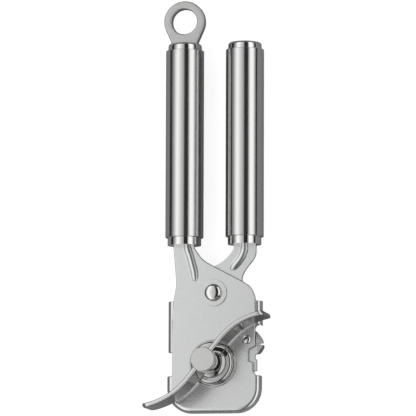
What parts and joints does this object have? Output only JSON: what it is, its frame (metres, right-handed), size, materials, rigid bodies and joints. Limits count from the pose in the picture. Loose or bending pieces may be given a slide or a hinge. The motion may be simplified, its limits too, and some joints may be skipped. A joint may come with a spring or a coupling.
{
  "type": "manual can opener",
  "caption": "Two-handled steel can opener with an S-shaped turning key, feed wheel, cutting wheel, small lid pliers at the side and a hanging ring.",
  "frame": {"origin": "middle of the rectangle the opener lies in, at the level of the table under its handles", "axes": "+Y along the handles towards the hanging ring, +X towards the right arm, +Z out of the front plate towards the turning key"},
  "size_m": [0.0586, 0.1998, 0.0377],
  "materials": {
    "satin_steel": "bead-blasted satin stainless steel",
    "tube_steel": "fine lengthwise brushed and polished stainless steel",
    "polished_steel": "mirror-polished stainless steel",
    "blade_steel": "ground hardened steel"
  },
  "bodies": {
    "front_arm": {"front_plate": "satin_steel", "left_handle_tube": "tube_steel", "left_end_cap": "polished_steel", "left_ferrule": "polished_steel", "hanging_ring": "satin_steel", "pivot_rivet": "polished_steel", "pivot_face_washer": "satin_steel", "pivot_spring_washer": "satin_steel", "pivot_rear_washer": "satin_steel", "cutter_axle_rivet": "polished_steel", "cutter_thrust_washer": "satin_steel", "cutter_retaining_washer": "satin_steel", "upper_jaw": "blade_steel"},
    "rear_arm": {"rear_plate": "satin_steel", "right_handle_tube": "tube_steel", "right_end_cap": "polished_steel", "right_ferrule": "polished_steel", "lower_jaw": "blade_steel", "shaft_bush": "blade_steel"},
    "drive": {"wing_key": "polished_steel", "hub_collar": "polished_steel", "cover_washer": "polished_steel", "drive_shaft": "satin_steel", "feed_wheel": "blade_steel", "feed_wheel_washer": "satin_steel", "shaft_nut": "satin_steel"},
    "cutter": {"cutting_wheel": "blade_steel", "cutter_bush": "blade_steel"}
  },
  "joints": [
    {"name": "handles_open", "type": "hinge", "parent": "front_arm", "child": "rear_arm", "pos_m": [0, -0.0422, 0.0092], "axis": [0, 0, -1], "range_deg": [0, 8]},
    {"name": "key_turn", "type": "hinge", "parent": "rear_arm", "child": "drive", "pos_m": [0, -0.0762, 0.0092], "axis": [0, 0, 1], "continuous": true},
    {"name": "cutter_spin", "type": "hinge", "parent": "front_arm", "child": "cutter", "pos_m": [0.0163, -0.0649, 0.0092], "axis": [0, 0, 1], "continuous": true}
  ]
}
